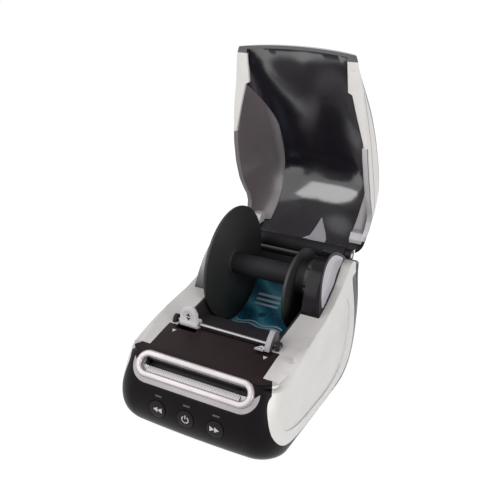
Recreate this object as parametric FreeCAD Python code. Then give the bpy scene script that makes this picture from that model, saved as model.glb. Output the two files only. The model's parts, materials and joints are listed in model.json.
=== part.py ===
import FreeCAD
import Part
import math
import os

os.makedirs("parts", exist_ok=True)

# Millimetres. X runs to the right, Y to the back, Z up.
# The origin is on the desk, under the middle of the footprint.
vec = FreeCAD.Vector
x_dir = vec(1, 0, 0)
y_dir = vec(0, 1, 0)
z_dir = vec(0, 0, 1)
origin = vec(0, 0, 0)
half = 0.5
far = 150.0

# Housing: height, half width, front, rear, front corner radius, rear corner radius
hull_levels = [
    (1.5, 60.5, -81.0, 60.0, 19.0, 40.0),
    (5.0, 62.3, -85.5, 69.0, 20.0, 40.0),
    (12.0, 63.5, -90.5, 78.0, 20.0, 40.0),
    (25.0, 63.5, -93.5, 87.0, 20.0, 40.0),
    (42.0, 62.3, -89.5, 92.0, 20.0, 37.0),
    (62.0, 60.0, -77.5, 93.5, 20.0, 31.0),
    (82.0, 57.3, -64.5, 93.5, 20.0, 26.0),
    (104.0, 54.5, -50.0, 92.5, 20.0, 23.0),
]
front_crown = 1.0
wall = 2.5
skin = 1.0
crest = [(-100.0, 57.2), (-80.0, 57.4), (-68.6, 58.3), (-48.0, 63.0), (-30.0, 65.0), (-18.0, 67.0),
         (2.0, 70.0), (20.0, 75.0), (37.0, 82.0), (48.0, 89.0), (54.0, 93.5), (60.0, 95.0),
         (68.0, 93.0), (75.0, 88.5), (79.5, 82.0), (85.0, 79.5), (100.0, 79.5)]
shoulder = [(-85.0, 47.0, 0.42), (-68.0, 50.0, 0.44), (-50.0, 52.5, 0.36), (-33.0, 56.5, 0.20),
            (-18.0, 59.0, 0.09), (2.0, 60.5, 0.03)]
leaf_edge = [(-63.0, 66.0), (-67.0, 59.0), (-73.4, 54.9), (-78.9, 50.6), (-82.0, 45.3), (-83.8, 39.0),
             (-84.4, 31.0), (-82.0, 23.4), (-76.0, 16.6), (-66.0, 11.2), (-54.0, 7.8), (-40.0, 6.0),
             (-15.0, 5.0), (15.0, 5.6), (34.0, 8.5), (47.0, 14.5), (56.0, 24.0), (63.0, 40.0),
             (66.0, 60.0), (66.5, 80.0), (66.0, 100.0)]
leaf_top = 110.0
leaf_inner_x = 20.0
field_edge = [(-58.0, 51.0), (-68.0, 49.5), (-75.0, 44.5), (-77.5, 37.0), (-75.0, 29.0), (-67.0, 22.5),
              (-50.0, 17.0), (-20.0, 14.8), (10.0, 15.4), (25.0, 20.5), (35.0, 29.0), (42.0, 40.0),
              (47.0, 52.0), (49.0, 62.0), (46.5, 69.0), (40.0, 67.5), (30.0, 64.0), (16.0, 60.5),
              (-6.0, 56.5), (-32.0, 53.0)]
floor_bottom = hull_levels[0][0]
floor_top = floor_bottom + wall
strip_top = 7.0
ledge_thick = 2.5
rail_inner = 45.0
ledge_inner = 38.5
rail_front = -68.6
notch_y = -43.2
ledge_rear = 77.0

# Feet and floor posts
foot_radius = 7.0
foot_spots = [(-45.0, -60.0), (45.0, -60.0), (-36.0, 40.0), (36.0, 40.0)]
post_radius = 4.0
frame_posts = [(-40.0, -74.0), (40.0, -74.0), (-40.0, -42.0), (40.0, -42.0)]
board_posts = [(-34.0, -22.0), (34.0, -22.0), (-34.0, 44.0), (34.0, 44.0)]
vent_count = 7
vent_pitch = 8.0
vent_length = 26.0
vent_width = 3.0
vent_y = -10.0

# Hinge and lid
hinge_y = 88.2
hinge_z = 86.9
open_angle = 90.7
barrel_radius = 6.0
barrel_half = 40.0
pin_radius = 2.0
pin_length = 12.0
cheek_radius = 5.0
cheek_width = 5.0
hinge_gap = 0.4
lid_gap = 0.4
lid_wall = 2.4
liner_thick = 1.4
lid_base = 45.0
# Lid stations: depth, half width, spring line height, crown height, fullness
lid_stations = [
    (-84.0, 46.0, 47.0, 54.5, 2.6),
    (-68.0, 49.6, 52.0, 72.5, 2.8),
    (-50.0, 51.5, 57.0, 91.0, 3.0),
    (-30.0, 54.2, 63.0, 108.5, 3.1),
    (-10.0, 56.2, 68.0, 121.5, 3.1),
    (12.0, 57.4, 74.0, 133.0, 3.1),
    (35.0, 57.8, 80.0, 140.0, 3.1),
    (55.0, 56.8, 84.0, 136.0, 2.9),
    (72.0, 55.2, 84.0, 120.5, 2.6),
    (84.0, 53.5, 80.0, 103.0, 2.3),
    (97.0, 52.0, 74.0, 82.0, 2.2),
]
arch = [(-74.0, 50.0), (-66.6, 57.2), (-53.3, 67.5), (-34.0, 82.6), (-10.6, 98.0), (11.7, 108.7),
        (34.0, 114.7), (54.0, 110.0), (67.0, 98.0), (76.0, 84.0)]
liner_arch = [(-47.0, 66.0), (-31.0, 91.0), (-16.0, 106.0), (2.0, 118.5), (28.0, 129.0), (45.0, 128.5),
              (62.0, 121.0), (77.0, 104.0)]
panel_inner_x = 38.0
liner_inner_x = 37.4
lid_rear = 93.5
lid_corner = 25.0
lip_front = -77.4
lip_bow = 3.4
lip_half = 49.4
strip_thick = 2.6
strip_front = -69.6
strip_end = -6.0
strip_inner = 40.4
strip_outer = 70.0
strip_plan = [(strip_inner, strip_front), (40.7, -47.2), (44.0, -45.5), (54.4, strip_end),
              (strip_outer, strip_end), (strip_outer, strip_front)]
rim_band = 2.6
end_block = (41.0, 56.0, 70.0, 78.0)
end_block_height = 9.0
buffer_radius = 2.4
buffer_depth = 1.2
buffer_proud = 0.2
buffer_spot = (44.9, -65.5)

# Spool
spool_y = 34.0
spool_z = 84.5
disc_radius = 46.0
disc_thick = 2.4
disc_x = -35.4
spindle_radius = 8.5
spindle_end = 36.6
journal_radius = 4.0
journal_end = 46.0
run_fit = 0.06
rim_height = 1.2
rim_width = 3.0
guide_radius = 32.0
guide_drop = 9.5
guide_x = 23.1
guide_thick = 2.4
guide_hub_radius = 13.0
guide_hub_length = 7.0
guide_knob_radius = 16.0
guide_knob_length = 3.6
guide_slots = 6
guide_slot_radius = 2.2

# Bin and ears
bin_clear = 3.0
bin_wall = 2.0
bin_front = -34.0
bin_front_z = 60.0
bin_mid = (-6.0, 55.5)
bin_rear_angle = -8.0
bin_low_angle = -141.0
bin_inner_x = 36.9
ear_foot_x = 54.4
ear_top_x = 47.2
ear_foot_z = 62.0
ear_top_z = 109.0
ear_edge = [(3.0, 66.0), (7.5, 84.0), (15.0, 97.5), (24.0, 105.0), (34.0, 108.0), (45.0, 106.5),
            (55.0, 101.5), (62.0, 96.0), (66.5, 88.0)]
inlay_thick = 0.6
inlay_edge = [(10.5, 77.0), (14.0, 90.0), (23.0, 101.0), (34.0, 105.4), (45.0, 104.0), (54.0, 99.6),
              (57.5, 97.2), (48.0, 92.5), (36.0, 85.0), (22.0, 79.0)]
card_thick = 0.4
card_lift = 0.3
card_left = -32.0
card_right = 14.0
card_low_angle = -106.0
card_high_angle = -38.0

# Exit bezel, set on a plane that leans back
bezel_y = -84.2
bezel_z = 52.9
bezel_lean = 36.87
ring_width = 92.0
ring_height = 19.0
ring_frame = 4.6
ring_depth = 3.0
ring_proud = 0.6
ring_back_y = -77.9
ring_back_z = 54.0
chute_depth = 2.0
slot_width = 82.0
slot_low = -1.0
slot_high = 4.6
apron_margin = 3.4
apron_tip = 4.5
apron_rise = 7.0
apron_reach = 12.0
tear_bar_size = (78.0, 1.2, 3.0)

# Deck over the print unit
deck_thick = 2.5
deck_line = [(-82.0, 55.6), (-71.0, 57.7), (-41.0, 63.6)]
deck_rear = -41.0
lever_notch = (-37.8, -21.4, -46.5)

# Print unit
frame_low = 8.0
frame_plate = 2.0
cheek_inner = 44.0
cheek_thick = 2.5
cheek_edge = [(-80.0, 8.0), (-36.0, 8.0), (-36.0, 55.0), (-50.0, 56.0), (-58.0, 51.0), (-78.0, 49.0)]
bar_span = (-60.0, -50.0, 45.5, 48.0)
platen_y = -70.0
platen_z = 42.0
platen_radius = 6.0
platen_half = 40.0
shaft_radius = 2.5
shaft_left = -47.5
bush_radius = 4.5
bush_flange = 6.0
bush_lip = 1.0
gear_left = 48.2
gear_width = 5.0
gear_module = 0.8
platen_teeth = 24
idler_teeth = 22
pinion_teeth = 12
addendum = 0.75
dedendum = 1.15
backlash = 0.3
motor_y = -52.0
motor_z = 25.0
motor_radius = 13.0
motor_length = 20.0
motor_boss = 4.0
motor_shaft = 1.5
motor_tab = 3.0
motor_tab_reach = 17.0
post_pin = 2.0
head_gap = 0.35
head_half = 30.0
head_front = -75.5
head_rear = -63.0
head_thick = 1.3
sink_base = 1.2
sink_fins = 5
sink_fin = 0.8
sink_fin_height = 0.9
arm_inner = 32.0
arm_thick = 2.0
arm_edge = [(-74.0, 48.6), (-62.0, 48.6), (-49.0, 49.2), (-43.6, 51.0), (-43.6, 54.4), (-49.0, 54.8),
            (-62.0, 51.4), (-74.0, 51.0)]
pivot_y = -46.4
pivot_z = 52.2
pivot_radius = 1.6
spring_line = [(-66.0, 0.0), (-60.5, 0.0), (-54.0, 3.4), (-51.0, 4.1)]
spring_half = 9.0
spring_thick = 0.4
sensor_size = (12.0, 6.0, 3.0)

# Rod, release lever and label guide
rod_y = -38.8
rod_z = 65.5
rod_radius = 1.5
rod_half = 43.0
bracket_inner = 40.2
bracket_width = 2.8
bracket_foot = 2.6
bracket_edge = [(-42.5, 0.0), (-41.2, 2.6), (-38.8, 3.6), (-36.4, 2.6), (-35.0, 0.0)]
lever_left = -37.0
lever_right = -22.4
lever_hub = 4.0
lever_face = [(-35.4, 63.6), (-36.4, 71.5), (-33.4, 78.2), (-27.0, 79.6), (-23.2, 74.0), (-22.8, 66.0)]
lever_front = -42.6
lever_back = -38.9
glyph_radius = 4.4
glyph_depth = 0.5
glyph_spot = (-29.6, 71.2)
fin_left = 34.0
fin_right = 38.1
fin_edge = [(-46.5, 64.0), (-46.0, 66.5), (-41.5, 72.0), (-37.0, 75.6), (-33.5, 75.0), (-31.0, 70.0),
            (-30.5, 65.6), (-34.8, 65.4), (-35.2, 62.6), (-40.4, 62.6), (-40.8, 64.0)]
fin_foot = [(27.0, -47.5), (34.0, -47.5), (34.0, -42.5), (30.0, -42.5)]
fin_foot_z = (63.9, 65.1)

# Buttons
button_x = 22.8
button_z = 25.5
button_radius = 6.4
button_gap = 0.35
button_proud = 0.5
flange_radius = 8.0
flange_thick = 1.2
pad_y = -88.5
pad_radius = 9.4
stem_radius = 2.0
board_front = -83.6
board_thick = 1.6
board_half = 36.0
board_low = 15.5
board_high = 36.5
switch_size = 6.0
switch_height = 1.6
press_travel = 0.8
press_spare = 0.2
pipe_half = 2.6
pipe_height = 1.2
pipe_rise = 9.6

# Main board and sockets
main_half = 38.0
main_front = -26.0
main_rear = 65.8
usb_x = -16.0
usb_size = (12.4, 17.0, 11.0)
usb_mouth = (9.0, 8.4, 9.5)
usb_tongue = (5.6, 3.0)
jack_x = 14.0
jack_size = (11.0, 15.0, 11.0)
jack_mouth = 3.6
jack_pin = 1.0
jack_depth = 10.0
chip_size = (16.0, 16.0, 2.0)
chip_spot = (0.0, 14.0)
pocket_half = 30.0
pocket_y = 68.0
pocket_wall = 2.0
pocket_top = 30.0
mouth_y = 69.0



# Small shared sizes
right_angle = 90.0
third_turn = 120.0
shoulder_thick = 3.0
corner_station = 8
run_gap = 0.3
lid_back = 75.0
lid_back_end = 79.0
lid_back_z = 89.1
lid_steps = 14
ring_round = 1.4
ramp_low = 1.0
ramp_high = 2.6
root_share = 0.78
tip_share = 0.26
sink_rear = -60.0
sink_fin_gap = 4.0
shelf_front = 82.1
pin_start = barrel_half + hinge_gap + cheek_width - pin_length - run_gap


def block(x0, x1, y0, y1, z0, z1):
    return Part.makeBox(x1 - x0, y1 - y0, z1 - z0, vec(x0, y0, z0))


def bar(x0, x1, y, z, radius):
    return Part.makeCylinder(radius, x1 - x0, vec(x0, y, z), x_dir)


def side_prism(points, x0, x1):
    corners = [vec(x0, y, z) for y, z in points]
    face = Part.Face(Part.makePolygon(corners + corners[:1]))
    return face.extrude(vec(x1 - x0, 0, 0))


def front_prism(points, y0, y1):
    corners = [vec(x, y0, z) for x, z in points]
    face = Part.Face(Part.makePolygon(corners + corners[:1]))
    return face.extrude(vec(0, y1 - y0, 0))


def plan_prism(points, z0, z1):
    corners = [vec(x, y, z0) for x, y in points]
    face = Part.Face(Part.makePolygon(corners + corners[:1]))
    return face.extrude(vec(0, 0, z1 - z0))


def smooth(points):
    line = Part.BSplineCurve()
    line.interpolate(points)
    return line.toShape()


def smooth_prism(points, closing, x0, x1):
    bend = smooth([vec(x0, y, z) for y, z in points])
    tail = [points[-1]] + closing + [points[0]]
    straight = Part.makePolygon([vec(x0, y, z) for y, z in tail])
    face = Part.Face(Part.Wire([bend] + straight.Edges))
    return face.extrude(vec(x1 - x0, 0, 0))


def ring_prism(points, x0, x1):
    line = Part.BSplineCurve()
    line.interpolate([vec(x0, y, z) for y, z in points], PeriodicFlag=True)
    face = Part.Face(Part.Wire([line.toShape()]))
    return face.extrude(vec(x1 - x0, 0, 0))


def flipped(shape):
    return shape.mirror(origin, x_dir)


def at_height(line, y):
    for (y0, z0), (y1, z1) in zip(line, line[1:]):
        if y0 <= y <= y1:
            return z0 + (z1 - z0) * (y - y0) / (y1 - y0)
    return line[-1][1]


def keep(name, shape):
    shape.removeSplitter().exportStep("parts/" + name + ".step")


def biggest(shape, low_y, high_y):
    chosen = [s for s in shape.Solids if low_y < s.CenterOfMass.y < high_y]
    return max(chosen, key=lambda s: s.Volume)


def hull_wire(level, inset):
    z, width, front, rear, r_front, r_rear = level
    w = width - inset
    nose = front + inset
    tail = rear - inset
    rf = r_front - inset
    rr = r_rear - inset
    brow = nose + front_crown
    fx = w - rf
    rx = w - rr
    fy = brow + rf
    ry = tail - rr
    bend = math.sqrt(half)
    edges = [
        Part.Arc(vec(-fx, brow, z), vec(0, nose, z), vec(fx, brow, z)).toShape(),
        Part.Arc(vec(fx, brow, z), vec(fx + rf * bend, fy - rf * bend, z), vec(w, fy, z)).toShape(),
        Part.makeLine(vec(w, fy, z), vec(w, ry, z)),
        Part.Arc(vec(w, ry, z), vec(rx + rr * bend, ry + rr * bend, z), vec(rx, tail, z)).toShape(),
        Part.makeLine(vec(rx, tail, z), vec(-rx, tail, z)),
        Part.Arc(vec(-rx, tail, z), vec(-rx - rr * bend, ry + rr * bend, z), vec(-w, ry, z)).toShape(),
        Part.makeLine(vec(-w, ry, z), vec(-w, fy, z)),
        Part.Arc(vec(-w, fy, z), vec(-fx - rf * bend, fy - rf * bend, z), vec(-fx, brow, z)).toShape(),
    ]
    return Part.Wire(edges)


def hull_solid(inset):
    return Part.makeLoft([hull_wire(level, inset) for level in hull_levels], True, False)


def shoulder_cut():
    wires = []
    for y, crease, slope in shoulder:
        z = at_height(crest, y)
        drop = slope * (far - crease)
        corners = [vec(crease, y, z), vec(far, y, z + ledge_thick), vec(far, y, z - drop)]
        wires.append(Part.makePolygon(corners + corners[:1]))
    return Part.makeLoft(wires, True, False)


def above_crest():
    ends = [(crest[-1][0], far), (crest[0][0], far)]
    return side_prism(crest + ends, -far, far)


def leaf_solid():
    closing = [(leaf_edge[-1][0], leaf_top), (leaf_edge[0][0], leaf_top)]
    return smooth_prism(leaf_edge, closing, leaf_inner_x, far)


def ledge_solid(outer):
    band = [(y, z - ledge_thick) for y, z in reversed(crest)]
    slab = side_prism(crest + band, 0, far)
    plan = [(rail_inner, rail_front), (rail_inner, notch_y), (ledge_inner, notch_y),
            (ledge_inner, ledge_rear), (far, ledge_rear), (far, rail_front)]
    return slab.common(plan_prism(plan, 0, far)).common(outer)


def lid_rim(raise_by):
    line = [(y, z + raise_by) for y, z in crest if y <= lid_back]
    return line + [(lid_back_end, lid_back_z + raise_by), (crest[-1][0], lid_back_z + raise_by)]


def below_rim(raise_by):
    line = lid_rim(raise_by)
    ends = [(line[-1][0], -far), (line[0][0], -far)]
    return side_prism(line + ends, -far, far)


def lid_wire(station, inset):
    y, width, spring, top, fullness = station
    w = width - inset
    rise = top - inset - spring
    points = []
    for step in range(lid_steps + 1):
        turn = math.pi * step / lid_steps
        c = math.cos(turn)
        s = math.sin(turn)
        x = math.copysign(abs(c) ** (2 / fullness), c) * w
        points.append(vec(x, y, spring + rise * abs(s) ** (2 / fullness)))
    points[0] = vec(w, y, spring)
    points[-1] = vec(-w, y, spring)
    corners = [points[-1], vec(-w, y, lid_base), vec(w, y, lid_base), points[0]]
    return Part.Wire([smooth(points)] + Part.makePolygon(corners).Edges)


def lid_plan(inset):
    lip = lip_front + inset
    cheek = lip + lip_bow
    rear = lid_rear - inset
    r = lid_corner - inset
    w = lid_stations[corner_station][1] + skin - inset
    bend = math.sqrt(half)
    side = [vec(lip_half, cheek, 0), vec(far, cheek, 0), vec(far, rear - lid_corner - r, 0),
            vec(w, rear - r, 0)]
    mirrored = [vec(-p.x, p.y, 0) for p in reversed(side)]
    edges = [Part.Arc(vec(-lip_half, cheek, 0), vec(0, lip, 0), vec(lip_half, cheek, 0)).toShape()]
    edges += Part.makePolygon(side).Edges
    corner = vec(w - r + r * bend, rear - r + r * bend, 0)
    edges.append(Part.Arc(side[-1], corner, vec(w - r, rear, 0)).toShape())
    edges.append(Part.makeLine(vec(w - r, rear, 0), vec(r - w, rear, 0)))
    corner = vec(-corner.x, corner.y, 0)
    edges.append(Part.Arc(vec(r - w, rear, 0), corner, mirrored[0]).toShape())
    edges += Part.makePolygon(mirrored).Edges
    return Part.Face(Part.Wire(edges)).extrude(vec(0, 0, far))


def lid_form(inset):
    form = Part.makeLoft([lid_wire(station, inset) for station in lid_stations], True, False)
    return form.common(lid_plan(inset))


def arch_solid(line, inner_x):
    return smooth_prism(line, [(line[-1][0], 0), (line[0][0], 0)], inner_x, far)


def lid_parts():
    outer = lid_form(0)
    inner = lid_form(lid_wall)
    core = lid_form(lid_wall + liner_thick)
    below = below_rim(lid_gap)
    case = outer.cut(inner).cut(below)
    plan = plan_prism(strip_plan, 0, far)
    flange = outer.cut(below).common(below_rim(lid_gap + strip_thick))
    ahead = block(strip_inner, far, -far, strip_front, -far, far)
    behind = block(-far, far, strip_end, far, -far, far)
    side = case.common(arch_solid(arch, panel_inner_x)).cut(ahead)
    edge = side.common(behind).common(below_rim(lid_gap + rim_band))
    panel = side.cut(edge).fuse(flange.common(plan))
    x, y = buffer_spot
    seat_z = at_height(crest, y + buffer_radius) + lid_gap
    pad = Part.makeCylinder(buffer_radius, buffer_depth + buffer_proud, vec(x, y, seat_z - buffer_proud))
    panel = panel.cut(pad)
    corner = flange.common(ahead)
    crown = case.fuse([corner, flipped(corner)]).cut(panel).cut(flipped(panel)).cut(pad).cut(flipped(pad))
    crown = crown.cut(edge).cut(flipped(edge))
    barrel = bar(-barrel_half, barrel_half, hinge_y, hinge_z, barrel_radius)
    for side in (-1, 1):
        middle = side * (barrel_half + hinge_gap + cheek_width * half)
        reach = cheek_width * half + hinge_gap + skin
        room = bar(middle - reach, middle + reach, hinge_y, hinge_z, cheek_radius + hinge_gap + skin * half)
        crown = crown.cut(room)
    crown = crown.cut(barrel)
    lens = inner.cut(core).common(arch_solid(liner_arch, liner_inner_x))
    lens = lens.cut(below_rim(lid_gap + strip_thick).cut(behind)).cut(below).cut(panel).fuse(edge)
    x0, x1, y0, y1 = end_block
    line = [(y, z) for y, z in lid_rim(lid_gap) if y0 < y < y1]
    low = [(y0, at_height(lid_rim(lid_gap), y0))] + line + [(y1, at_height(lid_rim(lid_gap), y1))]
    high = [(y1, low[-1][1] + end_block_height), (y0, low[0][1] + end_block_height)]
    foot = side_prism(low + high, x0, x1).common(inner).cut(lens)
    return crown, panel, lens, barrel, foot, pad


def stadium(width, height, low, high):
    r = height * half
    a = width * half - r
    edges = [
        Part.makeLine(vec(-a, -r, low), vec(a, -r, low)),
        Part.Arc(vec(a, -r, low), vec(a + r, 0, low), vec(a, r, low)).toShape(),
        Part.makeLine(vec(a, r, low), vec(-a, r, low)),
        Part.Arc(vec(-a, r, low), vec(-a - r, 0, low), vec(-a, -r, low)).toShape(),
    ]
    return Part.Face(Part.Wire(edges)).extrude(vec(0, 0, high - low))


def on_bezel(shape):
    turn = FreeCAD.Rotation(x_dir, right_angle - bezel_lean)
    place = FreeCAD.Placement(vec(0, bezel_y, bezel_z), turn)
    moved = shape.copy()
    moved.Placement = place.multiply(moved.Placement)
    return moved


def bezel_ring():
    ring = stadium(ring_width, ring_height, -ring_depth, ring_proud)
    ring = ring.cut(stadium(ring_width - 2 * ring_frame, ring_height - 2 * ring_frame, -far, far))
    rims = [e for e in ring.Edges if abs(e.BoundBox.ZMin - ring_proud) < run_fit
            and abs(e.BoundBox.ZMax - ring_proud) < run_fit]
    return on_bezel(ring.makeFillet(ring_round, rims)).cut(back_room())


def back_room():
    return block(-far, far, ring_back_y, far, ring_back_z, far)


def bezel_chute():
    back = -ring_depth - chute_depth
    plate = stadium(ring_width, ring_height, back, -ring_depth)
    low = -ring_height * half + ring_frame
    ramp = side_prism([(low, -ring_depth), (low, -ramp_low), (slot_low, -ramp_high), (slot_low, -ring_depth)],
                      -slot_width * half + ring_frame, slot_width * half - ring_frame)
    mouth = Part.makeBox(slot_width, slot_high - slot_low, far, vec(-slot_width * half, slot_low, back - skin))
    return on_bezel(plate.fuse(ramp).cut(mouth)).cut(back_room())


def tear_bar():
    width, thick, tall = tear_bar_size
    back = -ring_depth - chute_depth
    strip = Part.makeBox(width, tall, thick, vec(-width * half, slot_high - thick, back - thick))
    return on_bezel(strip)


def apron_solid(outer):
    plate = stadium(ring_width + 2 * apron_margin, ring_height + 2 * apron_margin, -apron_reach, apron_reach)
    plate = plate.cut(stadium(ring_width, ring_height, -far, far))
    inner_x = ring_width * half - apron_margin
    outer_x = ring_width * half + 2 * apron_margin
    keep_out = plan_prism([(-outer_x, apron_rise), (-inner_x, -apron_tip), (inner_x, -apron_tip),
                           (outer_x, apron_rise), (outer_x, far), (-outer_x, far)], -far, far)
    return on_bezel(plate.cut(keep_out)).common(outer.cut(hull_solid(skin)))


def deck_solid(inner, others):
    under = [(y, z - deck_thick) for y, z in reversed(deck_line)]
    slab = side_prism(deck_line + under, -far, far)
    plan = [(-far, -far), (far, -far), (far, rail_front), (rail_inner, rail_front), (rail_inner, notch_y),
            (ledge_inner, notch_y), (ledge_inner, deck_rear), (-ledge_inner, deck_rear),
            (-ledge_inner, notch_y), (-rail_inner, notch_y), (-rail_inner, rail_front), (-far, rail_front)]
    deck = slab.common(plan_prism(plan, 0, far)).common(inner)
    x0, x1, y0 = lever_notch
    deck = deck.cut(block(x0, x1, y0, far, 0, far))
    for other in others:
        deck = deck.cut(other)
    return biggest(deck, -far, 0)


def gear(teeth, x0, y, z, phase):
    pitch = gear_module * teeth * half
    tip = pitch + addendum * gear_module
    root = pitch - dedendum * gear_module
    step = 2 * math.pi / teeth
    thick = (step * pitch * half - backlash) / pitch
    points = []
    for tooth in range(teeth):
        middle = phase + tooth * step
        for radius, spread in ((root, -root_share), (tip, -tip_share), (tip, tip_share), (root, root_share)):
            turn = middle + spread * thick
            points.append((y + radius * math.cos(turn), z + radius * math.sin(turn)))
    return side_prism(points, x0, x0 + gear_width)


def idler_centre():
    first = gear_module * (platen_teeth + idler_teeth) * half
    second = gear_module * (idler_teeth + pinion_teeth) * half
    dy = motor_y - platen_y
    dz = motor_z - platen_z
    span = math.hypot(dy, dz)
    along = (first ** 2 - second ** 2 + span ** 2) / (2 * span)
    aside = math.sqrt(first ** 2 - along ** 2)
    y = platen_y + (along * dy - aside * dz) / span
    z = platen_z + (along * dz + aside * dy) / span
    return y, z


def gear_train():
    y, z = idler_centre()
    first = math.atan2(z - platen_z, y - platen_y)
    second = math.atan2(motor_z - z, motor_y - y)
    idler_step = 2 * math.pi / idler_teeth
    idler_phase = first + math.pi + idler_step * half
    slip = (second - idler_phase) % idler_step
    pinion_phase = second + math.pi + slip * idler_teeth / pinion_teeth + math.pi / pinion_teeth
    platen = gear(platen_teeth, gear_left, platen_y, platen_z, first)
    idler = gear(idler_teeth, gear_left, y, z, idler_phase)
    pinion = gear(pinion_teeth, gear_left, motor_y, motor_z, pinion_phase)
    gear_right = gear_left + gear_width
    platen = platen.cut(bar(0, far, platen_y, platen_z, shaft_radius))
    idler = idler.cut(bar(0, far, y, z, post_pin + run_fit))
    axle = bar(cheek_inner - motor_boss, gear_right, motor_y, motor_z, motor_shaft)
    post = bar(cheek_inner, gear_right + skin, y, z, post_pin)
    collar = bar(cheek_inner + cheek_thick, gear_left - run_gap, y, z, post_pin + cheek_thick)
    return platen, idler, pinion.fuse(axle), post.fuse(collar)


def print_frame():
    outer = cheek_inner + cheek_thick
    cheek = side_prism(cheek_edge, cheek_inner, outer)
    low, high = cheek_edge[0][0], cheek_edge[1][0]
    plate = block(-cheek_inner, cheek_inner, low, high, frame_low, frame_low + frame_plate)
    y0, y1, z0, z1 = bar_span
    cross = block(-cheek_inner, cheek_inner, y0, y1, z0, z1)
    chassis = plate.fuse([cheek, flipped(cheek), cross])
    chassis = chassis.cut(bar(-far, far, platen_y, platen_z, bush_radius))
    chassis = chassis.cut(bar(-far, far, pivot_y, pivot_z, pivot_radius))
    y, z = idler_centre()
    chassis = chassis.cut(bar(0, far, y, z, post_pin))
    return chassis.cut(bar(0, far, motor_y, motor_z, motor_boss))


def platen_bushes():
    outer = cheek_inner + cheek_thick
    bush = bar(cheek_inner, outer, platen_y, platen_z, bush_radius)
    lip = bar(cheek_inner - bush_lip, cheek_inner, platen_y, platen_z, bush_flange)
    bush = bush.fuse(lip).cut(bar(0, far, platen_y, platen_z, shaft_radius + run_fit))
    return Part.makeCompound([bush, flipped(bush)])


def stepper_motor():
    front = cheek_inner
    can = bar(front - motor_length, front, motor_y, motor_z, motor_radius)
    tab = block(front - frame_plate, front, motor_y - motor_tab_reach, motor_y + motor_tab_reach,
                motor_z - motor_tab, motor_z + motor_tab)
    boss = bar(front, front + cheek_thick, motor_y, motor_z, motor_boss)
    hole = bar(front - motor_boss - skin, far, motor_y, motor_z, motor_shaft + run_fit)
    return can.fuse([tab, boss]).cut(hole)


def head_parts():
    low = platen_z + platen_radius + head_gap
    mid = low + head_thick
    top = mid + sink_base
    element = block(-head_half, head_half, head_front, head_rear, low, mid)
    sink = block(-arm_inner, arm_inner, head_front, sink_rear, mid, top)
    pitch = (head_rear - sink_fin_gap - head_front) / sink_fins
    fins = [block(-head_half, head_half, head_front + n * pitch, head_front + n * pitch + sink_fin, top,
                  top + sink_fin_height) for n in range(sink_fins)]
    arm = side_prism(arm_edge, arm_inner, arm_inner + arm_thick)
    arm = arm.cut(bar(0, far, pivot_y, pivot_z, pivot_radius + run_fit))
    sink = sink.fuse(fins + [arm, flipped(arm)])
    line = [(y, top + rise) for y, rise in spring_line]
    over = [(y, z + spring_thick) for y, z in reversed(line)]
    spring = side_prism(line + over, -spring_half, spring_half)
    return element, sink, spring


def lever_solid():
    hub = bar(lever_left, lever_right, rod_y, rod_z, lever_hub)
    paddle = front_prism(lever_face, lever_front, lever_back)
    x, z = glyph_spot
    dish = Part.makeCylinder(glyph_radius, glyph_depth, vec(x, lever_front, z), y_dir)
    return hub.fuse(paddle).cut(dish).cut(bar(-far, far, rod_y, rod_z, rod_radius + run_fit))


def label_guide():
    fin = side_prism(fin_edge, fin_left, fin_right)
    low, high = fin_foot_z
    fin = fin.fuse(plan_prism(fin_foot, low, high))
    return fin.cut(bar(-far, far, rod_y, rod_z, rod_radius + run_fit))


def rod_brackets(panel):
    line = [(y, rod_z + rise) for y, rise in bracket_edge]
    ends = [(line[-1][0], rod_z - bracket_foot), (line[0][0], rod_z - bracket_foot)]
    bracket = side_prism(line + ends, bracket_inner, bracket_inner + bracket_width).cut(panel)
    bracket = bracket.cut(bar(0, rod_half, rod_y, rod_z, rod_radius))
    return Part.makeCompound([bracket, flipped(bracket)])


def trough(grow, x_half, top):
    r = disc_radius + bin_clear + grow
    low = math.radians(bin_low_angle)
    high = math.radians(bin_rear_angle)
    mid = (low + high) * half
    spots = [vec(-x_half, spool_y + r * math.cos(a), spool_z + r * math.sin(a)) for a in (low, mid, high)]
    lip = vec(-x_half, bin_front, bin_front_z - grow)
    ramp = vec(-x_half, bin_mid[0], bin_mid[1] - grow)
    ends = [spots[2], vec(-x_half, spots[2].y, top), vec(-x_half, bin_front, top), lip, ramp, spots[0]]
    edges = [Part.Arc(spots[0], spots[1], spots[2]).toShape()] + Part.makePolygon(ends).Edges
    return Part.Face(Part.Wire(edges)).extrude(vec(2 * x_half, 0, 0))


def journal_slot():
    r = journal_radius + run_fit
    end = journal_end + run_gap
    return bar(0, end, spool_y, spool_z, r).fuse(block(0, end, spool_y - r, spool_y + r, spool_z, far))


def ear_form():
    ends = [(ear_edge[-1][0], 0), (ear_edge[0][0], 0)]
    form = smooth_prism(ear_edge, ends, ledge_inner, far)
    lean = [(ledge_inner, ear_foot_z), (ear_foot_x, ear_foot_z), (ear_top_x, ear_top_z),
            (ledge_inner, ear_top_z)]
    under = side_prism(crest + [(crest[-1][0], -far), (crest[0][0], -far)], 0, far)
    return form.common(front_prism(lean, -far, far)).cut(under)


def ear_parts():
    form = ear_form()
    core = form.copy()
    core.translate(vec(-inlay_thick, 0, 0))
    inlay = form.common(ring_prism(inlay_edge, ledge_inner + wall, far)).cut(core)
    return form.cut(inlay).cut(journal_slot()), inlay


def tray_card():
    r = disc_radius + bin_clear - card_lift
    arc = math.radians(card_high_angle - card_low_angle)
    tube = Part.makeCylinder(r, card_right - card_left, origin, z_dir, math.degrees(arc))
    tube = tube.cut(Part.makeCylinder(r - card_thick, card_right - card_left))
    tube.rotate(origin, z_dir, card_low_angle)
    tube.rotate(origin, vec(1, 1, 1), third_turn)
    tube.translate(vec(card_left, spool_y, spool_z))
    return tube


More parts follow.
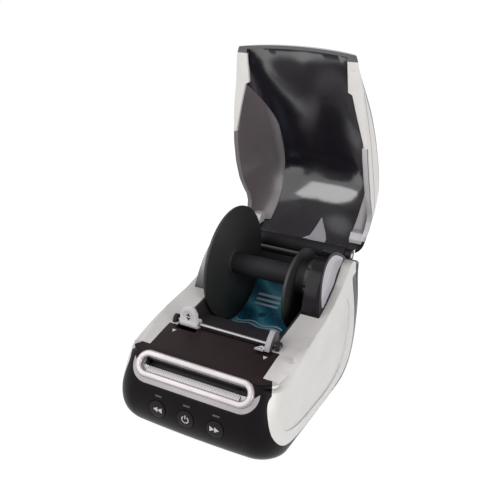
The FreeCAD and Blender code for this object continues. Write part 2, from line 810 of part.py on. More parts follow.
def along_y(x, z, radius, y0, y1):
    return Part.makeCylinder(radius, y1 - y0, vec(x, y0, z), y_dir)


def housing():
    cut = shoulder_cut()
    outer = hull_solid(0).cut(cut).cut(flipped(cut)).cut(above_crest())
    inner = hull_solid(wall).cut(block(-far, far, -far, far, -far, floor_top))
    shell = outer.cut(inner)
    leaf = leaf_solid()
    low = block(-far, far, -far, far, -far, strip_top)
    base = shell.common(low).cut(leaf).cut(flipped(leaf))
    rest = shell.cut(low).cut(leaf).cut(flipped(leaf))
    field = ring_prism(field_edge, leaf_inner_x, far).cut(hull_solid(skin))
    under = shoulder_cut()
    under.translate(vec(0, 0, -shoulder_thick))
    brow = outer.common(under)
    ledge = ledge_solid(outer).fuse(brow.common(leaf).cut(low))
    panel = shell.common(leaf).fuse(ledge).cut(field).cut(journal_slot())
    tip = brow.cut(leaf).cut(ledge)
    front = biggest(rest.fuse([tip, flipped(tip)]), -far, 0).cut(panel).cut(flipped(panel))
    rear = biggest(rest, 0, far).cut(panel).cut(flipped(panel))
    return outer, inner, base, panel, front, rear


def base_tray(base):
    posts = [Part.makeCylinder(post_radius, frame_low - floor_top, vec(x, y, floor_top))
             for x, y in frame_posts + board_posts]
    stands = []
    for side in (-1, 1):
        x = side * (board_half - post_radius)
        stands.append(block(x - post_radius * half, x + post_radius * half, board_front + board_thick,
                            cheek_edge[0][0] - run_gap, floor_top, board_high))
    tray = base.fuse(posts + stands)
    for n in range(vent_count):
        x = (n - (vent_count - 1) * half) * vent_pitch
        tray = tray.cut(block(x - vent_width * half, x + vent_width * half, vent_y - vent_length * half,
                              vent_y + vent_length * half, -far, floor_top + skin))
    return tray


def rubber_feet():
    feet = [Part.makeCylinder(foot_radius, floor_bottom, vec(x, y, 0)) for x, y in foot_spots]
    return Part.makeCompound(feet)


def light_pipes(front):
    pipes = []
    for n in (-1, 0, 1):
        z = button_z + pipe_rise
        slit = block(n * button_x - pipe_half, n * button_x + pipe_half, -far, pad_y + wall,
                     z - pipe_height * half, z + pipe_height * half)
        pipes.append(front.common(slit))
    return Part.makeCompound(pipes)


def fascia(front, outer, apron, pipes):
    shape = front
    for n in (-1, 0, 1):
        shape = shape.fuse(along_y(n * button_x, button_z, pad_radius, -far, pad_y).common(outer))
    shape = shape.cut(pipes)
    for n in (-1, 0, 1):
        shape = shape.cut(along_y(n * button_x, button_z, button_radius + button_gap, -far, 0))
    shape = shape.cut(on_bezel(stadium(ring_width, ring_height, -far * half, far * half)))
    return shape.cut(apron)


def button(x, outer):
    ahead = outer.copy()
    ahead.translate(vec(0, -button_proud, 0))
    cap = along_y(x, button_z, button_radius, -far, pad_y).common(ahead)
    flange = along_y(x, button_z, flange_radius, pad_y, pad_y + flange_thick)
    tip = board_front - switch_height - press_travel - press_spare
    stem = along_y(x, button_z, stem_radius, pad_y + flange_thick, tip)
    return cap.fuse([flange, stem])


def button_board():
    board = block(-board_half, board_half, board_front, board_front + board_thick, board_low, board_high)
    r = switch_size * half
    switches = [block(n * button_x - r, n * button_x + r, board_front - switch_height, board_front,
                      button_z - r, button_z + r) for n in (-1, 0, 1)]
    return board.fuse(switches)


def main_board():
    top = frame_low + board_thick
    board = block(-main_half, main_half, main_front, main_rear, frame_low, top)
    w, d, h = chip_size
    x, y = chip_spot
    chip = block(x - w * half, x + w * half, y - d * half, y + d * half, top, top + h)
    return board.fuse(chip)


def socket_block(x, size):
    w, d, h = size
    top = frame_low + board_thick
    return block(x - w * half, x + w * half, mouth_y - d, mouth_y, top, top + h)


def usb_socket():
    w, h, d = usb_mouth
    z = frame_low + board_thick + usb_size[2] * half
    body = socket_block(usb_x, usb_size)
    hollow = block(usb_x - w * half, usb_x + w * half, mouth_y - d, mouth_y, z - h * half, z + h * half)
    tw, th = usb_tongue
    tongue = block(usb_x - tw * half, usb_x + tw * half, mouth_y - d, mouth_y - skin, z - th * half,
                   z + th * half)
    return body.cut(hollow).fuse(tongue)


def power_socket():
    z = frame_low + board_thick + jack_size[2] * half
    body = socket_block(jack_x, jack_size)
    body = body.cut(along_y(jack_x, z, jack_mouth, mouth_y - jack_depth, mouth_y))
    return body.fuse(along_y(jack_x, z, jack_pin, mouth_y - jack_depth, mouth_y - skin))


def rear_shell(rear, outer):
    low = strip_top
    side = pocket_half + pocket_wall
    walls = block(-side, side, pocket_y - pocket_wall, far, low, pocket_top + pocket_wall).common(outer)
    room = block(-pocket_half, pocket_half, pocket_y, far, low + pocket_wall, pocket_top)
    shelf_z = crest[-1][1]
    shelf = block(-far, far, shelf_front, far, shelf_z - ledge_thick, shelf_z).common(outer)
    shell = rear.fuse([walls, shelf]).cut(room)
    for side in (-1, 1):
        x0 = barrel_half + hinge_gap
        x1 = x0 + cheek_width
        disc = bar(x0, x1, hinge_y, hinge_z, cheek_radius)
        foot = block(x0, x1, hinge_y - cheek_radius, hinge_y, shelf_z - skin, hinge_z)
        cheek = disc.fuse(foot).cut(bar(x0, x1, hinge_y, hinge_z, pin_radius))
        shell = shell.fuse(cheek if side > 0 else flipped(cheek))
    shell = shell.cut(socket_block(usb_x, usb_size)).cut(socket_block(jack_x, jack_size))
    return shell


def label_bin(outer, rear):
    side = trough(bin_wall, ledge_inner, far)
    room = trough(0, bin_inner_x, far)
    front_room = block(-bin_inner_x, bin_inner_x, bin_front - skin, bin_front + skin, bin_front_z, far)
    slot = journal_slot()
    shape = side.cut(room).cut(front_room).cut(above_crest()).cut(slot).cut(flipped(slot))
    return shape.common(outer).cut(rear)


def spool():
    far_face = disc_x + disc_thick
    disc = bar(disc_x, far_face, spool_y, spool_z, disc_radius)
    lip = bar(far_face, far_face + rim_height, spool_y, spool_z, spindle_radius + rim_width)
    core = bar(far_face, spindle_end, spool_y, spool_z, spindle_radius)
    ends = bar(-journal_end, journal_end, spool_y, spool_z, journal_radius)
    spindle = core.fuse(ends)
    return disc.fuse(lip).cut(spindle), spindle


def spool_guide():
    face = guide_x + guide_thick
    disc = bar(guide_x, face, spool_y, spool_z - guide_drop, guide_radius)
    hub = bar(face, face + guide_hub_length, spool_y, spool_z, guide_hub_radius)
    knob = bar(face + guide_hub_length, face + guide_hub_length + guide_knob_length, spool_y, spool_z,
               guide_knob_radius)
    shape = disc.fuse([hub, knob])
    for n in range(guide_slots):
        turn = 2 * math.pi * n / guide_slots
        reach = guide_knob_radius + guide_slot_radius * half
        shape = shape.cut(bar(face + guide_hub_length, far, spool_y + reach * math.cos(turn),
                              spool_z + reach * math.sin(turn), guide_slot_radius))
    return shape.cut(bar(-far, far, spool_y, spool_z, spindle_radius + run_fit))


def opened(shape):
    turned = shape.copy()
    turned.rotate(vec(0, hinge_y, hinge_z), x_dir, -open_angle)
    return turned


outer, inner, base, panel, front, rear = housing()
keep("base_tray", base_tray(base))
keep("rubber_feet", rubber_feet())
keep("right_side_panel", panel)
keep("left_side_panel", flipped(panel))
ring = bezel_ring()
chute = bezel_chute()
bar_strip = tear_bar()
apron = apron_solid(outer).common(front)
pipes = light_pipes(front)
keep("exit_ring", ring)
keep("exit_chute", chute)
keep("tear_bar", bar_strip)
keep("exit_apron", apron)
keep("light_pipes", pipes)
keep("front_fascia", fascia(front, outer, apron, pipes))
keep("deck_cover", deck_solid(inner, [ring, chute, bar_strip, front, panel, flipped(panel)]))
keep("rewind_button", button(-button_x, outer))
keep("power_button", button(0, outer))
keep("forward_button", button(button_x, outer))
keep("button_board", button_board())
keep("main_board", main_board())
keep("usb_socket", usb_socket())
keep("power_socket", power_socket())
back = rear_shell(rear, outer)
keep("rear_shell", back)
keep("label_bin", label_bin(outer, back))
ear, inlay = ear_parts()
keep("right_ear", ear)
keep("left_ear", flipped(ear))
keep("ear_inlays", Part.makeCompound([inlay, flipped(inlay)]))
keep("tray_card", tray_card())
keep("print_frame", print_frame())
keep("platen_bushes", platen_bushes())
platen_gear, idler, pinion, post = gear_train()
keep("platen_shaft", bar(shaft_left, gear_left + gear_width, platen_y, platen_z, shaft_radius))
roller = bar(-platen_half, platen_half, platen_y, platen_z, platen_radius)
keep("platen_roller", roller.cut(bar(-far, far, platen_y, platen_z, shaft_radius)))
keep("platen_gear", platen_gear)
keep("idler_gear", idler)
keep("idler_post", post)
keep("motor_pinion", pinion)
keep("stepper_motor", stepper_motor())
element, sink, spring = head_parts()
keep("print_head", element)
keep("head_bracket", sink)
keep("head_spring", spring)
pin_half = cheek_inner + cheek_thick
keep("head_pivot_pin", bar(-pin_half, pin_half, pivot_y, pivot_z, pivot_radius))
w, d, h = sensor_size
middle = (bar_span[0] + bar_span[1]) * half
keep("label_sensor", block(-w * half, w * half, middle - d * half, middle + d * half, bar_span[3],
                           bar_span[3] + h))
keep("guide_rod", bar(-rod_half, rod_half, rod_y, rod_z, rod_radius))
keep("rod_brackets", rod_brackets(panel))
keep("release_lever", lever_solid())
keep("label_guide", label_guide())
disc, spindle = spool()
keep("spool_disc", disc)
keep("spool_spindle", spindle)
keep("spool_guide", spool_guide())
crown, lid_panel, lens, barrel, foot, pad = lid_parts()
pin = bar(barrel_half + hinge_gap + cheek_width - pin_length, barrel_half + hinge_gap + cheek_width,
          hinge_y, hinge_z, pin_radius)
bore = bar(0, far, hinge_y, hinge_z, pin_radius + run_fit)
bore_room = bore.common(block(pin_start, far, -far, far, -far, far))
keep("hinge_pins", Part.makeCompound([pin, flipped(pin)]))
keep("hinge_bar", opened(barrel.cut(bore_room).cut(flipped(bore_room))))
keep("lid_shell", opened(crown))
keep("right_lid_panel", opened(lid_panel))
keep("left_lid_panel", opened(flipped(lid_panel)))
keep("right_lid_liner", opened(lens))
keep("left_lid_liner", opened(flipped(lens)))
keep("lid_end_blocks", opened(Part.makeCompound([foot, flipped(foot)])))
keep("lid_buffers", opened(Part.makeCompound([pad, flipped(pad)])))
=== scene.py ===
import json
import math

import bmesh
import bpy
from mathutils import Matrix, Vector
from mathutils.bvhtree import BVHTree


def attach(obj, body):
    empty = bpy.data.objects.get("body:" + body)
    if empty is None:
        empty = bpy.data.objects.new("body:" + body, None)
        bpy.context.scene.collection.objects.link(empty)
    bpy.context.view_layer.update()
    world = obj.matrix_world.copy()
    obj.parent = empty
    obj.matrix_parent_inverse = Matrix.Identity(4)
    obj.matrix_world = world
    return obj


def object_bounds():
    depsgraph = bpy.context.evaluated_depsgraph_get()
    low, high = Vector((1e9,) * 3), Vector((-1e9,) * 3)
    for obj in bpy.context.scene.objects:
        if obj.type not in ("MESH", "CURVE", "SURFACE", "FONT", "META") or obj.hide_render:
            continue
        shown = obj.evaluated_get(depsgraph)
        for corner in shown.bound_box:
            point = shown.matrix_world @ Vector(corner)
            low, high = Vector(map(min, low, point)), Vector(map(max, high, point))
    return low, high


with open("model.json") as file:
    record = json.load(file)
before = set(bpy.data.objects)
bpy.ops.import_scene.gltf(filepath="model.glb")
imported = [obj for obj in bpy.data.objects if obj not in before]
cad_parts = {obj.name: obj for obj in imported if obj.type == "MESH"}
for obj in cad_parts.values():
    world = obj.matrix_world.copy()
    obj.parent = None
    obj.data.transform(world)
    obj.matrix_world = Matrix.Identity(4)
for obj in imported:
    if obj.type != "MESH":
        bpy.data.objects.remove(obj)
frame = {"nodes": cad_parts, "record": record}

cad_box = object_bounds()
nodes = frame["nodes"]
MM = 0.001

# Camera solved from the photograph: millimetres and degrees, focal length in pixels of a 480 pixel frame
PHOTO_PIXELS = 480.0
FOCAL_PIXELS = 718.835
SENSOR = 36.0
CAMERA_SPOT = (222.377, -428.750, 319.700)
CAMERA_YAW = 28.530
CAMERA_PITCH = 22.223
CAMERA_ROLL = 0.671

# The two sides of the printer, with the sign of x on each
SIDES = {"right": 1, "left": -1}

# Places of the printed marks, the pale corners and the base screws, in millimetres
KEY_SPOTS = {"rewind": -22.8, "power": 0.0, "forward": 22.8}
KEY_HEIGHT = 25.5
DECK_MARKS = {"left": (-37.3, -50.1), "right": (36.8, -50.8)}
LEVER_SIGN = (-29.6, 71.2)
GUIDE_SIGN = (31.0, -47.0)
CORNER_SPOT = (52.4, -69.9, 58.0)
CORNER_WAY = (0.906, 0.423, -0.008)
CORNER_FOOT = 50.0
CORNER_BACK = -66.5
SCREW_SPOTS = [(-45.0, -42.0), (45.0, -42.0), (-36.0, 22.0), (36.0, 22.0)]

# Grooves on the lid's pale sides: (y, z) along the line, its width and the steps between two of its points
GROOVE_LINE = [(70.0, 223.0), (74.0, 207.0), (78.6, 191.0), (83.4, 175.0), (88.2, 159.0), (93.6, 143.0),
               (100.4, 128.0), (104.6, 118.0)]
GROOVE_WIDE = 0.7
GROOVE_STEPS = 8

# Black along the rear edges of the pale panels: widths, the most of a panel's depth that it takes, the rows
# and steps in which the edge is looked for, its softness, and the least |x| of a panel's outer side
SIDE_BAND = 7.0
LID_BAND = 6.5
BAND_SHARE = 0.22
BAND_ROWS = 24
BAND_STEP = 0.25
BAND_SOFT = 0.15
BAND_INNER = 30.0
BAND_REACH = 150.0

# The lid turns from its inner to its outer finish where the y of the surface's direction is this near zero
LID_TURN = 0.1

# Colours that several finishes share
PALE_SHELL = (0.68, 0.655, 0.63)
LINER_DARK = (0.088, 0.076, 0.080)
REAR_BLACK = (0.0105, 0.0085, 0.0092)

# Lamps, in metres and watts: (name, place, size, power), all aimed at one spot
LAMP_AIM = (0.0, 0.0, 0.09)
LAMPS = [("key_light", (-0.62, -0.80, 0.85), (1.0, 1.1), 10.0),
         ("side_light", (1.20, -0.60, 0.50), (0.7, 0.9), 10.0),
         ("top_light", (0.1, 0.25, 1.3), (0.9, 0.9), 1.0)]

# Stage: the floor's half size in metres and its drop in millimetres, its white and the room's light
FLOOR_REACH = 14.0
FLOOR_DROP = 0.1
FLOOR_GREY = 0.80
FLOOR_WHITE = 1.24
FLOOR_SHARE = 0.75
ROOM_COLOUR = (0.9, 0.92, 0.95)
ROOM_LIGHT = 0.38

# Printed marks sit this far off the surface and are this thick
MARK_LIFT = 0.04
MARK_THICK = 0.08

# Rays that look for a surface start this far before the given point, in metres
CAST_START = 0.2


# Materials

def shader_of(name):
    material = bpy.data.materials.new(name)
    material.use_nodes = True
    tree = material.node_tree
    return material, tree.nodes, tree.links, tree.nodes["Principled BSDF"]


def object_coords(tree_nodes, links, stretch=(1, 1, 1)):
    coords = tree_nodes.new("ShaderNodeTexCoord")
    mapping = tree_nodes.new("ShaderNodeMapping")
    mapping.inputs["Scale"].default_value = stretch
    links.new(coords.outputs["Object"], mapping.inputs["Vector"])
    return mapping.outputs["Vector"]


def noise(tree_nodes, links, vector, scale, detail=3.0, rough=0.55):
    cloud = tree_nodes.new("ShaderNodeTexNoise")
    cloud.inputs["Scale"].default_value = scale
    cloud.inputs["Detail"].default_value = detail
    cloud.inputs["Roughness"].default_value = rough
    links.new(vector, cloud.inputs["Vector"])
    return cloud.outputs["Fac"]


def ramp(tree_nodes, links, factor, stops):
    node = tree_nodes.new("ShaderNodeValToRGB")
    while len(node.color_ramp.elements) < len(stops):
        node.color_ramp.elements.new(0.5)
    for element, (place, colour) in zip(node.color_ramp.elements, stops):
        element.position = place
        element.color = (*colour, 1)
    links.new(factor, node.inputs["Fac"])
    return node.outputs["Color"]


def spread(tree_nodes, links, factor, low, high):
    node = tree_nodes.new("ShaderNodeMapRange")
    node.inputs["From Min"].default_value = 0.3
    node.inputs["From Max"].default_value = 0.7
    node.inputs["To Min"].default_value = low
    node.inputs["To Max"].default_value = high
    links.new(factor, node.inputs["Value"])
    return node.outputs["Result"]


def relief(tree_nodes, links, factor, strength, depth):
    node = tree_nodes.new("ShaderNodeBump")
    node.inputs["Strength"].default_value = strength
    node.inputs["Distance"].default_value = depth * MM
    links.new(factor, node.inputs["Height"])
    return node.outputs["Normal"]


def tinted(colour, share):
    return tuple(min(1.0, c * share) for c in colour)


def moulded(name, colour, rough, vary=0.06, grain=1400.0, strength=0.12, depth=0.03, coat=0.0,
            metallic=0.0, stretch=(1, 1, 1), cloud=35.0, shine=0.5):
    material, tree_nodes, links, shader = shader_of(name)
    flat = object_coords(tree_nodes, links)
    drawn = object_coords(tree_nodes, links, stretch)
    broad = noise(tree_nodes, links, flat, cloud)
    fine = noise(tree_nodes, links, drawn, grain, 2.0)
    stops = [(0.3, tinted(colour, 1 - vary)), (0.7, tinted(colour, 1 + vary))]
    links.new(ramp(tree_nodes, links, broad, stops), shader.inputs["Base Color"])
    links.new(spread(tree_nodes, links, fine, rough[0], rough[1]), shader.inputs["Roughness"])
    links.new(relief(tree_nodes, links, fine, strength, depth), shader.inputs["Normal"])
    shader.inputs["Metallic"].default_value = metallic
    shader.inputs["Coat Weight"].default_value = coat
    shader.inputs["Coat Roughness"].default_value = 0.12
    shader.inputs["Specular IOR Level"].default_value = shine
    return material


def lined(name, colour, rough):
    material = moulded(name, colour, rough, 0.04, 1200.0, 0.05, 0.02, metallic=0.25)
    tree = material.node_tree
    shader = tree.nodes["Principled BSDF"]
    vector = object_coords(tree.nodes, tree.links)
    lines = tree.nodes.new("ShaderNodeTexWave")
    lines.wave_type = "BANDS"
    lines.bands_direction = "DIAGONAL"
    lines.inputs["Scale"].default_value = 260.0
    tree.links.new(vector, lines.inputs["Vector"])
    stops = [(0.25, tinted(colour, 0.72)), (0.6, tinted(colour, 1.08))]
    tree.links.new(ramp(tree.nodes, tree.links, lines.outputs["Fac"], stops), shader.inputs["Base Color"])
    tree.links.new(relief(tree.nodes, tree.links, lines.outputs["Fac"], 0.35, 0.06), shader.inputs["Normal"])
    return material


def paired(material, factor, first, second):
    """Puts a mix of two colours, each with the finish's own clouding, on a moulded finish."""
    tree = material.node_tree
    mix = tree.nodes.new("ShaderNodeMix")
    mix.data_type = "RGBA"
    tree.links.new(factor, mix.inputs["Factor"])
    broad = noise(tree.nodes, tree.links, object_coords(tree.nodes, tree.links), 35.0)
    for colour, socket in ((first, mix.inputs[6]), (second, mix.inputs[7])):
        stops = [(0.3, tinted(colour, 0.95)), (0.7, tinted(colour, 1.05))]
        tree.links.new(ramp(tree.nodes, tree.links, broad, stops), socket)
    tree.links.new(mix.outputs[2], tree.nodes["Principled BSDF"].inputs["Base Color"])


def turned(name, colour, other, axis, stops, rough, coat=0.0):
    """A finish with painted light and shade: two colours mixed by how far a surface faces along an axis, stops
    of (facing, share).
    """
    material = moulded(name, colour, rough, 0.08, 1500.0, 0.15, 0.03, coat=coat)
    tree = material.node_tree
    coords = tree.nodes.new("ShaderNodeTexCoord")
    split = tree.nodes.new("ShaderNodeSeparateXYZ")
    size = tree.nodes.new("ShaderNodeMath")
    size.operation = "ABSOLUTE"
    tree.links.new(coords.outputs["Normal"], split.inputs["Vector"])
    tree.links.new(split.outputs[axis], size.inputs[0])
    share = ramp(tree.nodes, tree.links, size.outputs[0], [(facing, (part,) * 3) for facing, part in stops])
    paired(material, share, colour, other)
    return material


def fading(name, first, last, axis, reach, rough):
    """A finish that goes from one colour to another along an axis, between two places in millimetres."""
    material = moulded(name, first, rough)
    tree = material.node_tree
    split = tree.nodes.new("ShaderNodeSeparateXYZ")
    share = tree.nodes.new("ShaderNodeMapRange")
    share.inputs["From Min"].default_value = reach[0] * MM
    share.inputs["From Max"].default_value = reach[1] * MM
    tree.links.new(object_coords(tree.nodes, tree.links), split.inputs["Vector"])
    tree.links.new(split.outputs[axis], share.inputs["Value"])
    paired(material, share.outputs["Result"], first, last)
    return material


def card_print(name):
    material, tree_nodes, links, shader = shader_of(name)
    vector = object_coords(tree_nodes, links)
    split = tree_nodes.new("ShaderNodeSeparateXYZ")
    links.new(vector, split.inputs["Vector"])
    swirl = tree_nodes.new("ShaderNodeTexWave")
    swirl.wave_type = "BANDS"
    swirl.bands_direction = "DIAGONAL"
    swirl.inputs["Scale"].default_value = 14.0
    swirl.inputs["Distortion"].default_value = 5.0
    swirl.inputs["Detail"].default_value = 1.0
    swirl.inputs["Detail Scale"].default_value = 1.5
    links.new(vector, swirl.inputs["Vector"])
    stops = [(0.0, (0.009, 0.075, 0.14)), (0.45, (0.015, 0.16, 0.25)), (0.8, (0.03, 0.25, 0.35)),
             (1.0, (0.10, 0.37, 0.46))]
    links.new(ramp(tree_nodes, links, swirl.outputs["Fac"], stops), shader.inputs["Base Color"])
    fine = noise(tree_nodes, links, vector, 900.0)
    links.new(spread(tree_nodes, links, fine, 0.22, 0.34), shader.inputs["Roughness"])
    return material


def finishes():
    return {
        "white_shell": moulded("white_shell", PALE_SHELL, (0.30, 0.40), 0.025, coat=0.12),
        "black_shell": moulded("black_shell", (0.010, 0.0078, 0.0088), (0.15, 0.21), 0.10, 900.0, 0.03, 0.02,
                               shine=0.13),
        "black_satin": moulded("black_satin", (0.0100, 0.0068, 0.0074), (0.30, 0.40), 0.12, 1800.0, 0.15,
                               0.02, shine=0.15),
        "black_matt": moulded("black_matt", (0.021, 0.0215, 0.0205), (0.40, 0.52), 0.10, 1500.0, 0.2, 0.03,
                              shine=0.35),
        "silver_trim": moulded("silver_trim", (0.37, 0.342, 0.350), (0.28, 0.42), 0.08, 900.0, 0.10, 0.02,
                               metallic=0.55, stretch=(0.06, 1, 1)),
        "dark_liner": moulded("dark_liner", LINER_DARK, (0.38, 0.50), 0.08, 1500.0, 0.2, 0.03),
        "lilac_inlay": moulded("lilac_inlay", (0.40, 0.38, 0.42), (0.12, 0.20), 0.06, 700.0, 0.03, 0.02,
                               coat=0.4),
        "grey_parts": moulded("grey_parts", (0.44, 0.42, 0.44), (0.30, 0.42), 0.05),
        "printed_card": card_print("printed_card"),
        "steel": moulded("steel", (0.60, 0.60, 0.61), (0.16, 0.28), 0.05, 600.0, 0.08, 0.02, metallic=1.0,
                         stretch=(0.05, 1, 1)),
        "tinned_steel": moulded("tinned_steel", (0.45, 0.46, 0.47), (0.30, 0.46), 0.10, 500.0, 0.10, 0.02,
                                metallic=1.0),
        "platen_rubber": moulded("platen_rubber", (0.020, 0.020, 0.021), (0.65, 0.80), 0.12, 2500.0, 0.4,
                                 0.05),
        "foot_rubber": moulded("foot_rubber", (0.018, 0.018, 0.018), (0.70, 0.85), 0.12, 2500.0, 0.4, 0.05),
        "gear_resin": moulded("gear_resin", (0.62, 0.60, 0.54), (0.34, 0.46), 0.04),
        "circuit_board": moulded("circuit_board", (0.015, 0.095, 0.045), (0.28, 0.42), 0.25, 260.0, 0.2,
                                 0.04),
        "sink_alloy": moulded("sink_alloy", (0.56, 0.57, 0.58), (0.30, 0.42), 0.05, 500.0, 0.1, 0.02,
                              metallic=1.0, stretch=(0.08, 1, 1)),
        "head_ceramic": moulded("head_ceramic", (0.62, 0.60, 0.55), (0.20, 0.32), 0.05),
        "brass_bush": moulded("brass_bush", (0.55, 0.38, 0.14), (0.22, 0.34), 0.06, metallic=1.0),
        "clear_pipe": moulded("clear_pipe", (0.045, 0.045, 0.047), (0.25, 0.35), 0.06, coat=0.3),
        "socket_black": moulded("socket_black", (0.020, 0.020, 0.020), (0.38, 0.50), 0.10),
    }


# Mesh helpers

def soften(obj, bevel, angle=34.0):
    mesh = obj.data
    if "custom_normal" in mesh.attributes:
        mesh.attributes.remove(mesh.attributes["custom_normal"])
    mesh.polygons.foreach_set("use_smooth", [True] * len(mesh.polygons))
    weld = obj.modifiers.new("weld", "WELD")
    weld.merge_threshold = 0.002 * MM
    if bevel:
        round_edge = obj.modifiers.new("round", "BEVEL")
        round_edge.width = bevel * MM
        round_edge.segments = 2
        round_edge.limit_method = "ANGLE"
        round_edge.angle_limit = math.radians(40.0)
        round_edge.harden_normals = False
    split = obj.modifiers.new("split", "EDGE_SPLIT")
    split.split_angle = math.radians(angle)


def shape(name, points, faces, material, body):
    mesh = bpy.data.meshes.new(name)
    mesh.from_pydata([tuple(p) for p in points], [], faces)
    mesh.validate()
    mesh.update()
    mesh.materials.append(material)
    obj = bpy.data.objects.new(name, mesh)
    bpy.context.scene.collection.objects.link(obj)
    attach(obj, body)
    return obj


def surface_of(node):
    mesh = nodes[node].data
    points = [v.co.copy() for v in mesh.vertices]
    return BVHTree.FromPolygons(points, [tuple(p.vertices) for p in mesh.polygons])


def landed(tree, point, direction):
    """The first spot of a surface along a direction, or None."""
    return tree.ray_cast(Vector(point) - direction * CAST_START, direction)[0]


def printed(name, node, outlines, place, direction, material, body):
    """Flat outlines, each a list of (u, v) in millimetres, laid on a node's surface along a direction."""
    tree = surface_of(node)
    points = []
    faces = []
    for outline in outlines:
        base = len(points)
        lows = []
        highs = []
        for u, v in outline:
            spot = landed(tree, place(u, v), direction)
            lows.append(spot - direction * (MARK_LIFT * MM * 0.5))
            highs.append(spot - direction * ((MARK_LIFT + MARK_THICK) * MM))
        count = len(outline)
        points += lows + highs
        faces.append([base + count + n for n in range(count)])
        faces.append([base + n for n in reversed(range(count))])
        for n in range(count):
            m = (n + 1) % count
            faces.append([base + n, base + m, base + count + m, base + count + n])
    return shape(name, points, faces, material, body)


def arc_band(radius, width, start, end, steps):
    turns = [math.radians(start + (end - start) * n / steps) for n in range(steps + 1)]
    outside, inside = ([(reach * math.cos(t), reach * math.sin(t)) for t in turns]
                       for reach in (radius + width / 2, radius - width / 2))
    return [[outside[n], outside[n + 1], inside[n + 1], inside[n]] for n in range(steps)]


def bar_mark(u0, u1, v0, v1):
    return [(u0, v0), (u1, v0), (u1, v1), (u0, v1)]


def band_start(tree, sign, z, width):
    """Where the black begins on a panel at a height: a width before its rear edge, less where it is narrow."""
    back = cad_box[1][1] / MM
    places = [back - BAND_STEP * n for n in range(int((back - cad_box[0][1] / MM) / BAND_STEP))]
    spots = [(y, landed(tree, (0.0, y * MM, z * MM), Vector((-sign, 0, 0)))) for y in places]
    on_panel = [y for y, spot in spots if spot is not None and sign * spot.x > BAND_INNER * MM]
    if not on_panel:
        return None
    return on_panel[0] - min(width, BAND_SHARE * (on_panel[0] - on_panel[-1]))


def ranged(tree, source, start, end, low, high):
    node = tree.nodes.new("ShaderNodeMapRange")
    for socket, value in (("From Min", start), ("From Max", end), ("To Min", low), ("To Max", high)):
        node.inputs[socket].default_value = value
    tree.links.new(source, node.inputs["Value"])
    return node.outputs["Result"]


def banded(material, node, sign, width):
    """Lets the black of the rear run a little way over a panel, along the panel's own rear edge."""
    tree = material.node_tree
    surface = surface_of(node)
    levels = [v.co.z / MM for v in nodes[node].data.vertices]
    low, high = min(levels), max(levels)
    shares = [(n + 0.5) / BAND_ROWS for n in range(BAND_ROWS)]
    edge = [(share, band_start(surface, sign, low + (high - low) * share, width)) for share in shares]
    edge = [(share, y / BAND_REACH) for share, y in edge if y is not None]
    split = tree.nodes.new("ShaderNodeSeparateXYZ")
    tree.links.new(object_coords(tree.nodes, tree.links), split.inputs["Vector"])
    curve = tree.nodes.new("ShaderNodeFloatCurve")
    points = curve.mapping.curves[0].points
    points[0].location, points[1].location = edge[0], edge[-1]
    for spot in edge[1:-1]:
        points.new(*spot)
    curve.mapping.update()
    tree.links.new(ranged(tree, split.outputs["Z"], low * MM, high * MM, 0.0, 1.0), curve.inputs["Value"])
    past = tree.nodes.new("ShaderNodeMath")
    past.operation = "SUBTRACT"
    tree.links.new(ranged(tree, split.outputs["Y"], 0.0, BAND_REACH * MM, 0.0, 1.0), past.inputs[0])
    tree.links.new(curve.outputs["Value"], past.inputs[1])
    mask = ranged(tree, past.outputs[0], -BAND_SOFT / BAND_REACH, BAND_SOFT / BAND_REACH, 0.0, 1.0)
    mix = tree.nodes.new("ShaderNodeMix")
    mix.data_type = "RGBA"
    base = tree.nodes["Principled BSDF"].inputs["Base Color"]
    tree.links.new(mask, mix.inputs["Factor"])
    tree.links.new(base.links[0].from_socket, mix.inputs[6])
    mix.inputs[7].default_value = (*REAR_BLACK, 1)
    tree.links.new(mix.outputs[2], base)
    return material


def glossy_inside(material, coat, shine):
    """Gives the open lid's inside, which looks forward, its own gloss: pairs of (outside, inside)."""
    tree = material.node_tree
    coords = tree.nodes.new("ShaderNodeTexCoord")
    split = tree.nodes.new("ShaderNodeSeparateXYZ")
    tree.links.new(coords.outputs["Normal"], split.inputs["Vector"])
    shader = tree.nodes["Principled BSDF"]
    for socket, (outside, inside) in (("Coat Weight", coat), ("Specular IOR Level", shine)):
        level = ranged(tree, split.outputs["Y"], -LID_TURN, LID_TURN, inside, outside)
        tree.links.new(level, shader.inputs[socket])
    return material


# Finishes of single nodes that differ from their slot's

